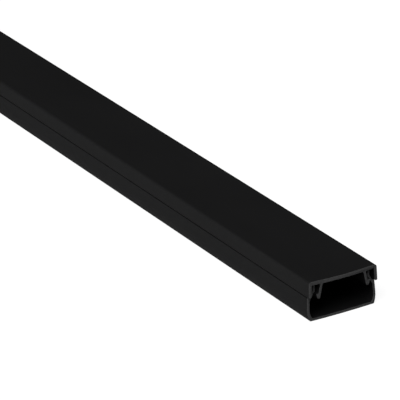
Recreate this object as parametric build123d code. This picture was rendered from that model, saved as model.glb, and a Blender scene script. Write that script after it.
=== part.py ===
from build123d import *
import os
from math import cos, radians, tan

# Two-piece cable trunking with a clip-on cover, cut to length, in millimetres.
# X runs along the length, Y across it, Z away from the wall. The origin is the centre of the
# base's flat back face. Both pieces are extrusions, so each is drawn as the right half of its
# section (across, up) and mirrored.

# Overall sizes
LENGTH = 500.0               # both pieces, as sawn
WIDTH = 25.0                 # over the tips of the cover's skirts
HEIGHT = 14.0                # back face to the cover's top, along its edges

# Base
FLOOR_THICKNESS = 0.85
WALL_THICKNESS = 0.8
FOOT_WIDTH = 23.0            # across the back face, before its corners are rounded
FOOT_RADIUS = 0.4
FOOT_INNER_RADIUS = 0.5
BULGE_HEIGHT = 4.2           # where the bowed wall is widest, above the back face
BULGE_INSET = 0.05           # widest point of the wall, in from the skirt's outer face
LEDGE_INSET = 0.15           # outer edge of the ledge, in from the skirt's outer face
LEDGE_RADIUS = 0.25
SHOULDER_ROOT = 1.2          # from the ledge down to where the shoulder's underside starts
LIP_THICKNESS = 0.85
LIP_INSET = 2.15             # outer face of the lip, in from the skirt's outer face
LIP_HEIGHT = 2.2             # straight part of the lip, above the shoulder
LIP_TIP_RADIUS = 0.35

# Cover
COVER_THICKNESS = 1.2
TOP_HOLLOW = 0.4             # how far the top dips between its edges, as extruded
COVER_CORNER_RADIUS = 1.0
SKIRT_DEPTH = 5.45           # from the cover's top, along its edges
SKIRT_THICKNESS = 0.95
SKIRT_SPLAY = 0.2            # how far the skirt leans out between the top and its tip
SKIRT_TIP_RADIUS = 0.3
ROOT_RADIUS = 0.3            # inner corners, and where the legs grow out of the top
LEG_THICKNESS = 0.85
LEG_LEAN = 12.0              # degrees, outward from upright
BARB_REACH = 0.9             # from the leg's outer face to the barb's point
BARB_CATCH = 0.35            # how far the barb's point reaches under the lip
BARB_LENGTH = 1.7            # from the barb's point down to the tip of the leg
BARB_POINT_RADIUS = 0.12
LEG_TIP_RADIUS = 0.3
COVER_LEAD = 1.2             # how far the cover stands out past the base at the near end

# Clearances
SEAM_GAP = 0.3               # ledge to the skirt's tip
SKIRT_GAP = 0.1              # skirt's inner face to the shoulder
LIP_GAP = 0.15               # top of the lip to the cover's underside
BARB_GAP = 0.3               # straight up from the barb's point to the shoulder's underside

# Fixing slots in the floor
SLOT_PITCH = 250.0
SLOT_LENGTH = 9.0
SLOT_WIDTH = 4.5

# Faces of the cover, and its hollow top and underside
OUTER_FACE = WIDTH / 2
SKIRT_INNER_FACE = OUTER_FACE - SKIRT_THICKNESS
TOP_CORNER_FACE = OUTER_FACE - SKIRT_SPLAY
TOP_CREST_FACE = TOP_CORNER_FACE - COVER_CORNER_RADIUS
UNDERSIDE_CORNER_FACE = SKIRT_INNER_FACE - SKIRT_SPLAY


def top_level(across):
    """Height of the hollow top, which reaches HEIGHT where its corner starts to round off."""
    return HEIGHT - TOP_HOLLOW * (1 - (across / TOP_CREST_FACE) ** 2)


def underside_level(across):
    return top_level(across) - COVER_THICKNESS


# Levels and faces that both pieces share
SKIRT_TIP = HEIGHT - SKIRT_DEPTH
LEDGE_LEVEL = SKIRT_TIP - SEAM_GAP
LIP_OUTER_FACE = OUTER_FACE - LIP_INSET
LIP_INNER_FACE = LIP_OUTER_FACE - LIP_THICKNESS
LIP_TOP = underside_level(LIP_INNER_FACE) - LIP_GAP
SHOULDER_TOP = LIP_TOP - LIP_HEIGHT
SHOULDER_FOOT_FACE = SKIRT_INNER_FACE - SKIRT_GAP
LEDGE_INNER_FACE = OUTER_FACE - LEDGE_INSET - WALL_THICKNESS
SHOULDER_UNDERSIDE_FOOT = LEDGE_LEVEL - SHOULDER_ROOT
SHOULDER_SLOPE = (SHOULDER_TOP - SHOULDER_UNDERSIDE_FOOT) / (LEDGE_INNER_FACE - LIP_INNER_FACE)
BARB_POINT_FACE = LIP_INNER_FACE + BARB_CATCH
BARB_LEVEL = SHOULDER_TOP - BARB_CATCH * SHOULDER_SLOPE - BARB_GAP


def corner(sketch, across, up):
    """The sketch's vertex nearest to a point of the section."""
    return sketch.vertices().sort_by_distance((across, up, 0))[0]


def rounded(sketch, corners):
    """The sketch with the named corners filleted: (across, up, radius) for each."""
    for across, up, radius in corners:
        sketch = fillet(corner(sketch, across, up), radius)
    return sketch


def both_halves(half):
    return half + mirror(half, about=Plane.YZ)


def extruded(sketch, start):
    """A length of the section, from start along X."""
    plane = Plane.YZ.offset(start)
    return extrude(plane * sketch, LENGTH)


def base_section():
    """Floor, outward-bowed wall, ledge for the skirt, slanting shoulder and upright lip."""
    foot_face = FOOT_WIDTH / 2
    bulge_face = OUTER_FACE - BULGE_INSET
    ledge_face = OUTER_FACE - LEDGE_INSET
    foot_inner_face = foot_face - WALL_THICKNESS
    bulge_inner_face = bulge_face - WALL_THICKNESS
    wall = [
        TangentArc((bulge_face, BULGE_HEIGHT), (foot_face, 0), tangent=(0, -1)),
        TangentArc((bulge_face, BULGE_HEIGHT), (ledge_face, LEDGE_LEVEL), tangent=(0, 1)),
        TangentArc((bulge_inner_face, BULGE_HEIGHT), (foot_inner_face, FLOOR_THICKNESS), tangent=(0, -1)),
        TangentArc(
            (bulge_inner_face, BULGE_HEIGHT), (LEDGE_INNER_FACE, SHOULDER_UNDERSIDE_FOOT), tangent=(0, 1)
        ),
    ]
    top = Polyline(
        (ledge_face, LEDGE_LEVEL),
        (SHOULDER_FOOT_FACE, LEDGE_LEVEL),
        (LIP_OUTER_FACE, SHOULDER_TOP),
        (LIP_OUTER_FACE, LIP_TOP),
        (LIP_INNER_FACE, LIP_TOP),
        (LIP_INNER_FACE, SHOULDER_TOP),
        (LEDGE_INNER_FACE, SHOULDER_UNDERSIDE_FOOT),
    )
    floor = Polyline((foot_inner_face, FLOOR_THICKNESS), (0, FLOOR_THICKNESS), (0, 0), (foot_face, 0))
    half = make_face([*wall, *top.edges(), *floor.edges()])
    half = rounded(
        half,
        [
            (foot_face, 0, FOOT_RADIUS),
            (foot_inner_face, FLOOR_THICKNESS, FOOT_INNER_RADIUS),
            (ledge_face, LEDGE_LEVEL, LEDGE_RADIUS),
            (LIP_OUTER_FACE, LIP_TOP, LIP_TIP_RADIUS),
            (LIP_INNER_FACE, LIP_TOP, LIP_TIP_RADIUS),
        ],
    )
    return both_halves(half)


def cover_shell_section():
    """Hollow top with rounded corners and a skirt down each side."""
    top_corner = (TOP_CORNER_FACE, top_level(TOP_CORNER_FACE))
    underside_corner = (UNDERSIDE_CORNER_FACE, underside_level(UNDERSIDE_CORNER_FACE))
    top = TangentArc((0, top_level(0)), top_corner, tangent=(1, 0))
    underside = TangentArc((0, underside_level(0)), underside_corner, tangent=(1, 0))
    skirt = Polyline(top_corner, (OUTER_FACE, SKIRT_TIP), (SKIRT_INNER_FACE, SKIRT_TIP), underside_corner)
    middle = Line((0, underside_level(0)), (0, top_level(0)))
    half = make_face([top, *skirt.edges(), underside, middle])
    return rounded(
        half,
        [
            (*top_corner, COVER_CORNER_RADIUS),
            (OUTER_FACE, SKIRT_TIP, SKIRT_TIP_RADIUS),
            (SKIRT_INNER_FACE, SKIRT_TIP, SKIRT_TIP_RADIUS),
            (*underside_corner, ROOT_RADIUS),
        ],
    )


def leg_outer_face(height):
    """How far out the outer face of the leaning leg lies at a height of the section."""
    return BARB_POINT_FACE - BARB_REACH + (BARB_LEVEL - height) * tan(radians(LEG_LEAN))


def leg_inner_face(height):
    return leg_outer_face(height) - LEG_THICKNESS / cos(radians(LEG_LEAN))


def leg_section():
    """Springy leg that leans outward and ends in a barb under the base's shoulder."""
    root = underside_level(0) + COVER_THICKNESS / 2
    tip = BARB_LEVEL - BARB_LENGTH
    tip_outer_face = leg_inner_face(tip) + LEG_THICKNESS
    leg = make_face(
        Polyline(
            (leg_outer_face(root), root),
            (leg_outer_face(BARB_LEVEL), BARB_LEVEL),
            (BARB_POINT_FACE, BARB_LEVEL),
            (tip_outer_face, tip),
            (leg_inner_face(tip), tip),
            (leg_inner_face(root), root),
            close=True,
        )
    )
    return rounded(
        leg,
        [
            (BARB_POINT_FACE, BARB_LEVEL, BARB_POINT_RADIUS),
            (tip_outer_face, tip, LEG_TIP_RADIUS),
            (leg_inner_face(tip), tip, LEG_TIP_RADIUS),
        ],
    )


def leg_root(leg_face):
    """Where one face of the leg meets the underside of the top."""
    level = underside_level(leg_face(underside_level(0)))
    return leg_face(level), level


def cover_section():
    """Shell and legs, with the legs' roots blended into the underside of the top."""
    half = cover_shell_section() + leg_section()
    half = rounded(
        half,
        [
            (*leg_root(leg_outer_face), ROOT_RADIUS),
            (*leg_root(leg_inner_face), ROOT_RADIUS),
        ],
    )
    return both_halves(half)


def fixing_slots():
    """Oblong screw slots along the middle of the floor, evenly pitched about its centre."""
    count = max(1, int(LENGTH // SLOT_PITCH))
    places = GridLocations(SLOT_PITCH, 0, count, 1)
    outline = Sketch() + places * SlotOverall(SLOT_LENGTH, SLOT_WIDTH)
    return extrude(outline, FLOOR_THICKNESS)


def base_channel():
    return extruded(base_section(), -LENGTH / 2) - fixing_slots()


def cover():
    return extruded(cover_section(), -LENGTH / 2 + COVER_LEAD)


PIECES = {"base_channel": base_channel, "cover": cover}

os.makedirs("parts", exist_ok=True)
for name, make in PIECES.items():
    export_step(make(), f"parts/{name}.step")
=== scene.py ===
from math import atan2, ceil, cos, pi, radians, sin, sqrt, tan

import bmesh
import bpy
from mathutils import Matrix, Vector, noise


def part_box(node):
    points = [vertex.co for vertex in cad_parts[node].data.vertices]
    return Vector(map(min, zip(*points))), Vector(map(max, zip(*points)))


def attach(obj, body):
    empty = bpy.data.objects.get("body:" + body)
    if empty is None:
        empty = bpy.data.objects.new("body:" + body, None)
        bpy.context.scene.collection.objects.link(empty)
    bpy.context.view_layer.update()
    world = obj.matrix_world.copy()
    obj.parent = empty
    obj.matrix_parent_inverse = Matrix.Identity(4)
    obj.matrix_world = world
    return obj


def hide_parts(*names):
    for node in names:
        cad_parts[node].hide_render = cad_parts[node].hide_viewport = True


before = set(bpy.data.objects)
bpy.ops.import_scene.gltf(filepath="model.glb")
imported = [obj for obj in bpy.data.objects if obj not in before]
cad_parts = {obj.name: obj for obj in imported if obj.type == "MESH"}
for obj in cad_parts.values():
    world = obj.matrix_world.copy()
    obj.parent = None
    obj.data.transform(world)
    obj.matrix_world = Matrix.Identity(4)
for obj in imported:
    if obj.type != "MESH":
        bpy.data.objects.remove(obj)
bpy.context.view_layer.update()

# Two-piece cable trunking in black PVC. Both pieces are drawn again as meshes of the same
# sections, so that their sawn faces can have relief and a material of their own. X runs along
# the length, Y across it and Z away from the wall, in metres, with the near end at high X.
MM = 0.001

# The frame says where each piece starts and ends
BASE_LOW, BASE_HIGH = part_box("base_channel")
COVER_LOW, COVER_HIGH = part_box("cover")

# Section of the base
FLOOR_THICKNESS = 0.85 * MM
WALL_THICKNESS = 0.8 * MM
FOOT_FACE = 11.5 * MM
FOOT_RADIUS = 0.4 * MM
FOOT_INNER_RADIUS = 0.5 * MM
BULGE_HEIGHT = 4.2 * MM      # where the bowed wall is widest
BULGE_INSET = 0.05 * MM      # widest point of the wall, in from the skirt's outer face
LEDGE_INSET = 0.15 * MM
LEDGE_RADIUS = 0.25 * MM
SHOULDER_ROOT = 1.2 * MM
LIP_THICKNESS = 0.85 * MM
LIP_INSET = 2.15 * MM
LIP_HEIGHT = 2.2 * MM
LIP_TIP_RADIUS = 0.35 * MM

# How the base is bent out of its section
FLOOR_BOW = 0.2 * MM         # how far the feet stand up from the middle of the floor
FAR_FOOT_OFFSET = 0.35 * MM  # how much further out the foot on the +Y side stands
FAR_LEDGE_IN = 0.25 * MM     # how much further in the ledge on the +Y side stands
FAR_LEDGE_RISE = 0.2 * MM    # how much higher it stands

# Section of the cover
COVER_THICKNESS = 1.2 * MM
TOP_HOLLOW = 0.4 * MM        # how far the top dips between its edges
COVER_CORNER_RADIUS = 1.0 * MM
SKIRT_DEPTH = 5.45 * MM
SKIRT_THICKNESS = 0.95 * MM
SKIRT_SPLAY = 0.2 * MM
SKIRT_TIP_RADIUS = 0.3 * MM
ROOT_RADIUS = 0.3 * MM
LEG_THICKNESS = 0.85 * MM
LEG_LEAN = radians(12)
BARB_REACH = 0.9 * MM
BARB_CATCH = 0.35 * MM
BARB_LENGTH = 1.7 * MM
BARB_POINT_RADIUS = 0.12 * MM
LEG_TIP_RADIUS = 0.3 * MM

# Clearances
SEAM_GAP = 0.3 * MM
SKIRT_GAP = 0.1 * MM
BARB_GAP = 0.3 * MM

# Fixing slots in the floor
SLOT_PITCH = 250 * MM
SLOT_LENGTH = 9 * MM
SLOT_WIDTH = 4.5 * MM

# Levels and faces that both pieces share
HEIGHT = COVER_HIGH.z
LIP_TOP = BASE_HIGH.z
BULGE_FACE = BASE_HIGH.y
OUTER_FACE = BULGE_FACE + BULGE_INSET
COVER_UNDERSIDE = HEIGHT - COVER_THICKNESS
TOP_CREST_FACE = OUTER_FACE - SKIRT_SPLAY - COVER_CORNER_RADIUS
SKIRT_TIP = HEIGHT - SKIRT_DEPTH
SKIRT_INNER_FACE = OUTER_FACE - SKIRT_THICKNESS
LEDGE_LEVEL = SKIRT_TIP - SEAM_GAP
LEDGE_FACE = OUTER_FACE - LEDGE_INSET
LEDGE_INNER_FACE = LEDGE_FACE - WALL_THICKNESS
LIP_OUTER_FACE = OUTER_FACE - LIP_INSET
LIP_INNER_FACE = LIP_OUTER_FACE - LIP_THICKNESS
SHOULDER_TOP = LIP_TOP - LIP_HEIGHT
SHOULDER_FOOT_FACE = SKIRT_INNER_FACE - SKIRT_GAP
SHOULDER_UNDERSIDE_FOOT = LEDGE_LEVEL - SHOULDER_ROOT
SHOULDER_SLOPE = (SHOULDER_TOP - SHOULDER_UNDERSIDE_FOOT) / (LEDGE_INNER_FACE - LIP_INNER_FACE)
BARB_POINT_FACE = LIP_INNER_FACE + BARB_CATCH
BARB_LEVEL = SHOULDER_TOP - BARB_CATCH * SHOULDER_SLOPE - BARB_GAP

# Sawn ends
EDGE_BREAK = 0.07 * MM       # worn edge round a sawn face, measured on that face
EDGE_BREAK_DEPTH = 1.5 * EDGE_BREAK  # the same, measured along the piece
SAW_RELIEF = 0.035 * MM
SAW_MARKS_ACROSS = 900       # in a metre
SAW_MARKS_UP = 2600          # in a metre

# Mesh fineness
ARC_STEP = radians(9)
RUN_STEP = 0.6 * MM
RING_STEP = 5 * MM
SLIVER = 0.0001 * MM         # shortest edge kept where a slot is cut
SHARP_ANGLE = radians(35)

# PVC
PVC_SPECULAR = 0.22
BASE_DARK = (0.0056, 0.0056, 0.0058)
BASE_LIGHT = (0.0068, 0.0068, 0.0071)
COVER_DARK = (0.0062, 0.0062, 0.0064)
COVER_LIGHT = (0.0076, 0.0076, 0.0079)
SCUFF_COLOUR = (0.02, 0.02, 0.0205)
SAWN_DARK = (0.04, 0.04, 0.041)
SAWN_LIGHT = (0.094, 0.094, 0.095)
LINE_DEPTH = 0.02 * MM
GRAIN_DEPTH = 0.006 * MM
TEAR_DEPTH = 0.08 * MM

# Floor and world, which show white
FLOOR_SIZE = 6.0
FLOOR_LEVEL = -0.02 * MM     # just clear of the flat back face
FLOOR_ALBEDO = (0.25, 0.25, 0.25)
FLOOR_GLOW = 0.88            # with what the lamps add, just white
WORLD_LEVEL = 0.02           # the world as a light
GLOSSY_SHARE = 0.02          # of that white in gloss: more lays a grey veil over the black

# Camera, fitted to the photograph
AZIMUTH = radians(60.91)
ELEVATION = radians(23.13)
ROLL = radians(-2.35)
FOCAL_PIXELS = 3007
DISTANCE = 0.9303
TARGET_PIXEL = (341.94, 313.14)  # shows the middle of the near end of the base's back face
FRAME_PIXELS = 400
SENSOR_WIDTH = 36
CLIP_START = 0.01


def arc(centre, radius, start, end):
    """Points of an arc, both ends included, in equal steps of no more than ARC_STEP."""
    steps = max(2, ceil(abs(end - start) / ARC_STEP))
    turns = [start + (end - start) * k / steps for k in range(steps + 1)]
    return [Vector((centre[0] + radius * cos(t), centre[1] + radius * sin(t))) for t in turns]


def rounded(corners):
    """An open path through (across, up, radius) corners, with an arc at each that has a radius."""
    points = []
    for k, (across, up, radius) in enumerate(corners):
        here = Vector((across, up))
        if not radius:
            points.append(here)
            continue
        to_last = (Vector(corners[k - 1][:2]) - here).normalized()
        to_next = (Vector(corners[k + 1][:2]) - here).normalized()
        half = to_last.angle(to_next) / 2
        centre = here + (to_last + to_next).normalized() * radius / sin(half)
        first = here + to_last * radius / tan(half) - centre
        last = here + to_next * radius / tan(half) - centre
        start = atan2(first.y, first.x)
        turn = (atan2(last.y, last.x) - start + pi) % (2 * pi) - pi
        points += arc(centre, radius, start, start + turn)
    return points


def bow_radius(run, rise):
    """Radius of an arc that starts upright and has moved in by run at a distance of rise."""
    return (run * run + rise * rise) / (2 * run)


def lower_wall(face, foot_face, floor, foot_radius):
    """From the floor round the foot's corner and up the bowed wall to its widest point."""
    radius = bow_radius(face - foot_face, BULGE_HEIGHT - floor)
    middle = face - radius
    drop = BULGE_HEIGHT - floor - foot_radius
    foot = (middle + sqrt((radius - foot_radius) ** 2 - drop * drop), floor + foot_radius)
    turn = atan2(-drop, foot[0] - middle)
    corner = arc(foot, foot_radius, -pi / 2, turn)
    return corner + arc((middle, BULGE_HEIGHT), radius, turn, 0)[1:]


def upper_wall(face, top_face, top):
    """From the widest point of the bowed wall up to its top, without its first point."""
    rise = top - BULGE_HEIGHT
    radius = bow_radius(face - top_face, rise)
    middle = face - radius
    return arc((middle, BULGE_HEIGHT), radius, 0, atan2(rise, top_face - middle))[1:]


def subdivided(points):
    """The closed outline with its long straight runs cut into steps of about RUN_STEP."""
    fine = []
    for here, there in zip(points, points[1:] + points[:1]):
        steps = max(1, round((there - here).length / RUN_STEP))
        fine += [here.lerp(there, k / steps) for k in range(steps)]
    return fine


def whole(half):
    """The right half of an outline, from the middle to the middle, with its mirror image."""
    left = [Vector((-p.x, p.y)) for p in reversed(half[1:-1])]
    return subdivided(half + left)


def far_ledge_share(height):
    """How much of the far ledge's shift a height of the wall takes: all at the ledge itself."""
    rise = (height - BULGE_HEIGHT) / (LEDGE_LEVEL - BULGE_HEIGHT)
    fall = (SHOULDER_TOP - height) / (SHOULDER_TOP - LEDGE_LEVEL)
    return max(0.0, min(rise, fall))


def bend_base(points):
    """Bows the floor, and moves the foot and the ledge of the +Y side."""
    for p in points:
        fade = max(0.0, 1 - p.y / BULGE_HEIGHT)
        p.y += FLOOR_BOW * (p.x / FOOT_FACE) ** 2 * fade
        p.x += FAR_FOOT_OFFSET * max(0.0, p.x / FOOT_FACE) * fade
        if p.x > 0:
            share = far_ledge_share(p.y)
            p.x -= FAR_LEDGE_IN * share
            p.y += FAR_LEDGE_RISE * share


def base_outline():
    """Floor, outward-bowed walls, ledges for the skirts, slanting shoulders and upright lips."""
    outside = lower_wall(BULGE_FACE, FOOT_FACE, 0, FOOT_RADIUS)
    outside += upper_wall(BULGE_FACE, LEDGE_FACE, LEDGE_LEVEL)
    top = rounded(
        [
            (outside[-2].x, outside[-2].y, 0),
            (LEDGE_FACE, LEDGE_LEVEL, LEDGE_RADIUS),
            (SHOULDER_FOOT_FACE, LEDGE_LEVEL, 0),
            (LIP_OUTER_FACE, SHOULDER_TOP, 0),
            (LIP_OUTER_FACE, LIP_TOP, LIP_TIP_RADIUS),
            (LIP_INNER_FACE, LIP_TOP, LIP_TIP_RADIUS),
            (LIP_INNER_FACE, SHOULDER_TOP, 0),
        ]
    )
    inner_face = BULGE_FACE - WALL_THICKNESS
    inner_foot_face = FOOT_FACE - WALL_THICKNESS
    inside = lower_wall(inner_face, inner_foot_face, FLOOR_THICKNESS, FOOT_INNER_RADIUS)
    inside += upper_wall(inner_face, LEDGE_INNER_FACE, SHOULDER_UNDERSIDE_FOOT)
    half = [Vector((0, 0))] + outside[:-2] + top + inside[::-1] + [Vector((0, FLOOR_THICKNESS))]
    points = whole(half)
    bend_base(points)
    return points


def leg_outer_face(height):
    """How far out the outer face of the leaning leg lies at a height of the section."""
    return BARB_POINT_FACE - BARB_REACH + (BARB_LEVEL - height) * tan(LEG_LEAN)


def leg_inner_face(height):
    return leg_outer_face(height) - LEG_THICKNESS / cos(LEG_LEAN)


def hollow_top(points):
    """Dips the top between its edges, and the upper part of the legs with it."""
    for p in points:
        fade = min(1.0, max(0.0, (p.y - BARB_LEVEL) / (COVER_UNDERSIDE - BARB_LEVEL)))
        p.y -= TOP_HOLLOW * max(0.0, 1 - (p.x / TOP_CREST_FACE) ** 2) * fade


def cover_outline():
    """Hollow top with rounded corners, a skirt down each side, and two legs with barbs."""
    tip = BARB_LEVEL - BARB_LENGTH
    half = rounded(
        [
            (0, COVER_UNDERSIDE, 0),
            (leg_inner_face(COVER_UNDERSIDE), COVER_UNDERSIDE, ROOT_RADIUS),
            (leg_inner_face(tip), tip, LEG_TIP_RADIUS),
            (leg_inner_face(tip) + LEG_THICKNESS, tip, LEG_TIP_RADIUS),
            (BARB_POINT_FACE, BARB_LEVEL, BARB_POINT_RADIUS),
            (leg_outer_face(BARB_LEVEL), BARB_LEVEL, 0),
            (leg_outer_face(COVER_UNDERSIDE), COVER_UNDERSIDE, ROOT_RADIUS),
            (SKIRT_INNER_FACE - SKIRT_SPLAY, COVER_UNDERSIDE, ROOT_RADIUS),
            (SKIRT_INNER_FACE, SKIRT_TIP, SKIRT_TIP_RADIUS),
            (OUTER_FACE, SKIRT_TIP, SKIRT_TIP_RADIUS),
            (OUTER_FACE - SKIRT_SPLAY, HEIGHT, COVER_CORNER_RADIUS),
            (0, HEIGHT, 0),
        ]
    )
    points = whole(half)
    hollow_top(points)
    return points


def inset(points, distance):
    """The closed outline moved inwards by a distance; the outline runs anticlockwise."""
    moved = []
    for k, here in enumerate(points):
        along = points[(k + 1) % len(points)] - points[k - 1]
        moved.append(here + Vector((-along.y, along.x)).normalized() * distance)
    return moved


def saw_relief(place):
    """Depth of the saw's marks at a place of a sawn face, from 0 to SAW_RELIEF."""
    mark = noise.noise(Vector((place.x * SAW_MARKS_ACROSS, place.y * SAW_MARKS_UP, 0)))
    return SAW_RELIEF * 0.5 * (1 + mark)


def ring_places(start, end):
    """Where along X the rings of a piece stand, without the two that close each end."""
    count = round((end - start) / RING_STEP)
    inner = [start + (end - start) * k / count for k in range(1, count)]
    return [start + EDGE_BREAK_DEPTH] + inner + [end - EDGE_BREAK_DEPTH]


def extrusion(name, outline, start, end):
    """A closed mesh of the outline along X, with a broken edge and relief on each sawn face."""
    mesh = bmesh.new()

    def ring(x):
        return [mesh.verts.new((x, p.x, p.y)) for p in outline]

    def sawn_ring(x, inwards):
        points = inset(outline, EDGE_BREAK)
        return [mesh.verts.new((x + inwards * saw_relief(p), p.x, p.y)) for p in points]

    rings = [sawn_ring(start, 1)]
    rings += [ring(x) for x in ring_places(start, end)]
    rings.append(sawn_ring(end, -1))
    count = len(outline)
    for low, high in zip(rings, rings[1:]):
        for k in range(count):
            mesh.faces.new((low[k], low[(k + 1) % count], high[(k + 1) % count], high[k]))
    caps = [mesh.faces.new(rings[0][::-1]), mesh.faces.new(rings[-1])]
    # the sawn faces and the broken edges round them take the second material
    for vert in rings[0] + rings[-1]:
        for face in vert.link_faces:
            face.material_index = 1
    mesh.normal_update()
    bmesh.ops.triangulate(mesh, faces=caps, ngon_method="EAR_CLIP")
    bmesh.ops.recalc_face_normals(mesh, faces=mesh.faces)
    data = bpy.data.meshes.new(name)
    mesh.to_mesh(data)
    mesh.free()
    data.shade_smooth()
    data.set_sharp_from_angle(angle=SHARP_ANGLE)
    piece = bpy.data.objects.new(name, data)
    bpy.context.scene.collection.objects.link(piece)
    return piece


def slot_cutter(middle):
    """A solid in the shape of one fixing slot, through the floor."""
    radius = SLOT_WIDTH / 2
    reach = SLOT_LENGTH / 2 - radius
    outline = arc((reach, 0), radius, -pi / 2, pi / 2) + arc((-reach, 0), radius, pi / 2, 3 * pi / 2)
    mesh = bmesh.new()
    low = [mesh.verts.new((middle + p.x, p.y, -FLOOR_THICKNESS)) for p in outline]
    high = [mesh.verts.new((middle + p.x, p.y, 2 * FLOOR_THICKNESS)) for p in outline]
    for k in range(len(outline)):
        after = (k + 1) % len(outline)
        mesh.faces.new((low[k], low[after], high[after], high[k]))
    mesh.faces.new(low[::-1])
    mesh.faces.new(high)
    data = bpy.data.meshes.new("slot_cutter")
    mesh.to_mesh(data)
    mesh.free()
    cutter = bpy.data.objects.new("slot_cutter", data)
    bpy.context.scene.collection.objects.link(cutter)
    return cutter


def cut_slots(piece):
    """Punches the fixing slots through the floor and keeps the result as the piece's own mesh."""
    for middle in (-SLOT_PITCH / 2, SLOT_PITCH / 2):
        cutter = slot_cutter(middle)
        cut = piece.modifiers.new("slot", "BOOLEAN")
        cut.operation = "DIFFERENCE"
        cut.solver = "EXACT"
        cut.object = cutter
        bpy.context.view_layer.update()
        depsgraph = bpy.context.evaluated_depsgraph_get()
        data = bpy.data.meshes.new_from_object(piece.evaluated_get(depsgraph))
        piece.modifiers.clear()
        piece.data = data
        bpy.data.objects.remove(cutter)
    mesh = bmesh.new()
    mesh.from_mesh(piece.data)
    bmesh.ops.dissolve_degenerate(mesh, edges=mesh.edges, dist=SLIVER)
    mesh.to_mesh(piece.data)
    mesh.free()
    piece.data.set_sharp_from_angle(angle=SHARP_ANGLE)


def maths(tree, operation, first, second):
    """A Math node's output; its two inputs are numbers or other nodes' outputs."""
    node = tree.nodes.new("ShaderNodeMath")
    node.operation = operation
    for socket, value in zip(node.inputs, (first, second)):
        if isinstance(value, (int, float)):
            socket.default_value = value
        else:
            tree.links.new(value, socket)
    return node.outputs[0]


class Nodes:
    """Short calls for building one material's node tree."""

    def __init__(self, name):
        self.material = bpy.data.materials.new(name)
        self.material.use_nodes = True
        self.tree = self.material.node_tree
        self.shader = self.tree.nodes["Principled BSDF"]
        self.place = self.add("ShaderNodeTexCoord").outputs["Object"]

    def add(self, kind, **settings):
        node = self.tree.nodes.new(kind)
        for key, value in settings.items():
            setattr(node, key, value)
        return node

    def link(self, output, socket):
        self.tree.links.new(output, socket)

    def scaled(self, scale, rotation=(0, 0, 0)):
        mapping = self.add("ShaderNodeMapping")
        self.link(self.place, mapping.inputs["Vector"])
        mapping.inputs["Rotation"].default_value = rotation
        mapping.inputs["Scale"].default_value = scale
        return mapping.outputs["Vector"]

    def noise(self, scale, detail=2.0, rough=0.5, rotation=(0, 0, 0)):
        """Noise from 0 to 1; scale is about how many marks there are in a metre of X, Y and Z."""
        texture = self.add("ShaderNodeTexNoise")
        self.link(self.scaled(scale, rotation), texture.inputs["Vector"])
        texture.inputs["Scale"].default_value = 1
        texture.inputs["Detail"].default_value = detail
        texture.inputs["Roughness"].default_value = rough
        return texture.outputs["Fac"]

    def ranged(self, value, low, high, to_low=0.0, to_high=1.0):
        node = self.add("ShaderNodeMapRange")
        self.link(value, node.inputs["Value"])
        node.inputs["From Min"].default_value = low
        node.inputs["From Max"].default_value = high
        node.inputs["To Min"].default_value = to_low
        node.inputs["To Max"].default_value = to_high
        return node.outputs["Result"]

    def maths(self, operation, first, second):
        return maths(self.tree, operation, first, second)

    def blend(self, factor, first, second):
        """A colour between two, each a colour or another node's output."""
        node = self.add("ShaderNodeMix", data_type="RGBA")
        self.link(factor, node.inputs["Factor"])
        # the colour sockets share their names with other kinds, so they go by number
        for socket, value in ((node.inputs[6], first), (node.inputs[7], second)):
            if isinstance(value, tuple):
                socket.default_value = (*value, 1)
            else:
                self.link(value, socket)
        return node.outputs[2]

    def bump(self, height, distance, strength, below=None):
        node = self.add("ShaderNodeBump")
        node.inputs["Distance"].default_value = distance
        node.inputs["Strength"].default_value = strength
        self.link(height, node.inputs["Height"])
        if below:
            self.link(below, node.inputs["Normal"])
        return node.outputs["Normal"]


def black_pvc(name, dark, light):
    """Satin black extruded PVC: faint die lines along the length, fine grain and dull patches."""
    n = Nodes(name)
    die_lines = n.noise((5, 2300, 2300), detail=3, rough=0.6)
    fine_lines = n.noise((14, 7000, 7000), detail=1)
    grain = n.noise((9000, 9000, 9000), detail=2, rough=0.6)
    clouds = n.noise((22, 60, 60), detail=4, rough=0.55)
    rubs = n.noise((260, 3200, 3200), detail=2, rough=0.7, rotation=(0, radians(4), radians(9)))
    scuffs = n.ranged(rubs, 0.66, 0.8)
    tone = n.maths("ADD", n.maths("MULTIPLY", clouds, 0.7), n.maths("MULTIPLY", die_lines, 0.3))
    clean = n.blend(n.ranged(tone, 0.25, 0.75), dark, light)
    colour = n.blend(n.maths("MULTIPLY", scuffs, 0.35), clean, SCUFF_COLOUR)
    wear = n.maths("ADD", clouds, n.maths("MULTIPLY", scuffs, 0.4))
    lines = n.maths("ADD", die_lines, n.maths("MULTIPLY", fine_lines, 0.4))
    lined = n.bump(lines, LINE_DEPTH, 0.5)
    n.link(colour, n.shader.inputs["Base Color"])
    n.link(n.ranged(wear, 0.2, 1.0, 0.46, 0.58), n.shader.inputs["Roughness"])
    n.link(n.bump(grain, GRAIN_DEPTH, 0.5, below=lined), n.shader.inputs["Normal"])
    n.shader.inputs["Specular IOR Level"].default_value = PVC_SPECULAR
    return n.material


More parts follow.
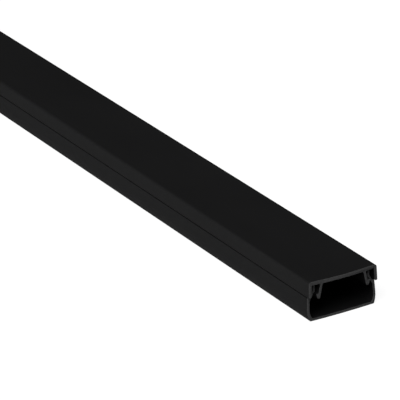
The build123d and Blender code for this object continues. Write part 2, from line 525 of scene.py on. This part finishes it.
def sawn_pvc(name, dark, light):
    """A sawn face: torn, paler and rough, with slanting marks of the blade."""
    n = Nodes(name)
    marks = n.noise((1500, 900, 5200), detail=3, rough=0.7, rotation=(radians(24), 0, 0))
    tears = n.noise((2600, 2600, 2600), detail=4, rough=0.7)
    tone = n.maths("ADD", n.maths("MULTIPLY", marks, 0.55), n.maths("MULTIPLY", tears, 0.45))
    n.link(n.blend(n.ranged(tone, 0.34, 0.66), dark, light), n.shader.inputs["Base Color"])
    n.link(n.ranged(tears, 0.3, 0.7, 0.62, 0.85), n.shader.inputs["Roughness"])
    n.link(n.bump(tone, TEAR_DEPTH, 0.8), n.shader.inputs["Normal"])
    n.shader.inputs["Specular IOR Level"].default_value = PVC_SPECULAR
    return n.material


def dress(piece, body, node, skin, sawn):
    """Gives a piece its finish and its body, and hides the imported part of the node that it stands
    for.
    """
    piece.data.materials.append(skin)
    piece.data.materials.append(sawn)
    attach(piece, body)
    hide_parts(node)


def make_pieces():
    sawn = sawn_pvc("sawn_pvc", SAWN_DARK, SAWN_LIGHT)
    base = extrusion("base_channel_extrusion", base_outline(), BASE_LOW.x, BASE_HIGH.x)
    cut_slots(base)
    dress(base, "base", "base_channel", black_pvc("base_pvc", BASE_DARK, BASE_LIGHT), sawn)
    cover = extrusion("cover_extrusion", cover_outline(), COVER_LOW.x, COVER_HIGH.x)
    dress(cover, "cover", "cover", black_pvc("cover_pvc", COVER_DARK, COVER_LIGHT), sawn)


def seen_background(tree):
    """1 for camera rays and rays through clear material, GLOSSY_SHARE for glossy ones, else 0."""
    path = tree.nodes.new("ShaderNodeLightPath")
    glossy = maths(tree, "MULTIPLY", path.outputs["Is Glossy Ray"], GLOSSY_SHARE)
    both = maths(tree, "MAXIMUM", path.outputs["Is Camera Ray"], glossy)
    return maths(tree, "MAXIMUM", both, path.outputs["Is Transmission Ray"])


def make_floor():
    """A plain floor that shows white and keeps the object's soft shadow."""
    half = FLOOR_SIZE / 2
    data = bpy.data.meshes.new("floor")
    corners = [(-half, -half), (half, -half), (half, half), (-half, half)]
    data.from_pydata([(x, y, FLOOR_LEVEL) for x, y in corners], [], [(0, 1, 2, 3)])
    floor = bpy.data.objects.new("floor", data)
    bpy.context.scene.collection.objects.link(floor)
    n = Nodes("floor_white")
    n.shader.inputs["Base Color"].default_value = (*FLOOR_ALBEDO, 1)
    n.shader.inputs["Roughness"].default_value = 1
    n.shader.inputs["Specular IOR Level"].default_value = 0
    n.shader.inputs["Emission Color"].default_value = (1, 1, 1, 1)
    glow = n.maths("MULTIPLY", seen_background(n.tree), FLOOR_GLOW)
    n.link(glow, n.shader.inputs["Emission Strength"])
    data.materials.append(n.material)


def make_world():
    """White where it is seen, and WORLD_LEVEL as a light."""
    world = bpy.data.worlds.new("studio")
    bpy.context.scene.world = world
    world.use_nodes = True
    tree = world.node_tree
    background = tree.nodes["Background"]
    background.inputs["Color"].default_value = (1, 1, 1, 1)
    level = tree.nodes.new("ShaderNodeMapRange")
    level.inputs["To Min"].default_value = WORLD_LEVEL
    level.inputs["To Max"].default_value = 1
    tree.links.new(seen_background(tree), level.inputs["Value"])
    tree.links.new(level.outputs["Result"], background.inputs["Strength"])


def lamp(name, power, size, place, target):
    """A soft square lamp, aimed at a point."""
    data = bpy.data.lights.new(name, "AREA")
    data.energy = power
    data.size = size
    light = bpy.data.objects.new(name, data)
    light.location = place
    light.rotation_euler = (Vector(target) - Vector(place)).to_track_quat("-Z", "Y").to_euler()
    bpy.context.scene.collection.objects.link(light)


def make_lamps():
    lamp("front", power=54, size=1.6, place=(1.3, -1.25, 2.1), target=(0.1, 0, 0))
    lamp("side", power=14, size=1.0, place=(0.0, -1.6, 0.6), target=(0.1, 0, 0))
    lamp("back", power=6, size=0.8, place=(0.2, 1.4, 0.5), target=(0, 0, 0))


def make_camera():
    """The camera of the photograph, placed so that the target point shows at its pixel."""
    back = Vector((sin(AZIMUTH) * cos(ELEVATION), -cos(AZIMUTH) * cos(ELEVATION), sin(ELEVATION)))
    level = Vector((cos(AZIMUTH), sin(AZIMUTH), 0))
    upright = back.cross(level)
    right = level * cos(ROLL) + upright * sin(ROLL)
    up = upright * cos(ROLL) - level * sin(ROLL)
    across = (TARGET_PIXEL[0] - FRAME_PIXELS / 2) / FOCAL_PIXELS
    above = -(TARGET_PIXEL[1] - FRAME_PIXELS / 2) / FOCAL_PIXELS
    target = Vector((BASE_HIGH.x, 0, 0))
    place = target + DISTANCE * (back - across * right - above * up)
    data = bpy.data.cameras.new("camera")
    data.sensor_width = SENSOR_WIDTH
    data.lens = FOCAL_PIXELS * SENSOR_WIDTH / FRAME_PIXELS
    data.clip_start = CLIP_START
    camera = bpy.data.objects.new("camera", data)
    turn = Matrix((right, up, back)).transposed().to_4x4()
    camera.matrix_world = Matrix.Translation(place) @ turn
    bpy.context.scene.collection.objects.link(camera)
    bpy.context.scene.camera = camera


make_camera()
make_pieces()
make_floor()
make_world()
make_lamps()
bpy.context.scene.view_settings.view_transform = "Standard"
